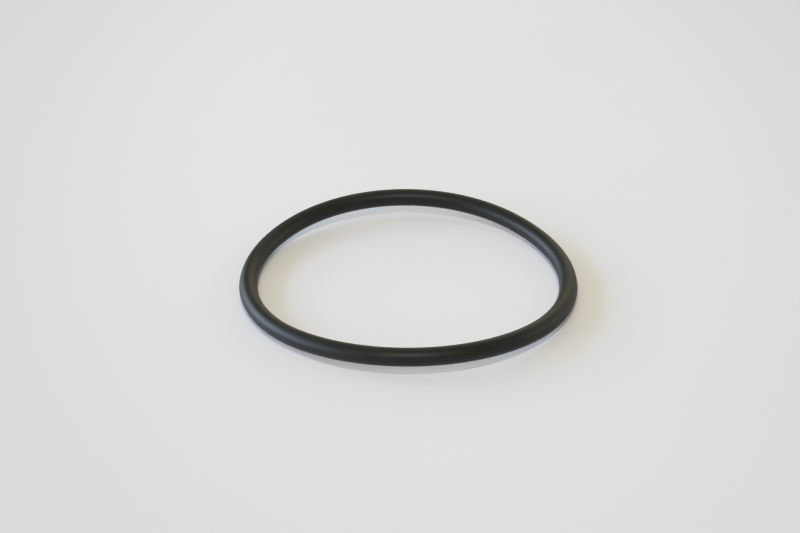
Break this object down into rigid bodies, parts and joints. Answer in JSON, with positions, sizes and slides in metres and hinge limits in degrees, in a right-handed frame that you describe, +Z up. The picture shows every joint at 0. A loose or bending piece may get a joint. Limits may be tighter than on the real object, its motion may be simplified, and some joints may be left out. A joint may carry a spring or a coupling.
{
  "type": "rubber o-ring",
  "caption": "Round rubber sealing ring of circular section, lying free on a flat surface and sprung a little out of flat.",
  "frame": {"origin": "middle of the ring, on the surface that it lies on", "axes": "+Z up along the ring's axis, +X towards the right side, which touches the surface, +Y towards the far side, which stands clear of it"},
  "size_m": [0.1006, 0.1006, 0.0084],
  "materials": {
    "rubber": "satin black moulded rubber with a faint pale bloom"
  },
  "bodies": {
    "root": {"o_ring": "rubber"}
  },
  "joints": []
}
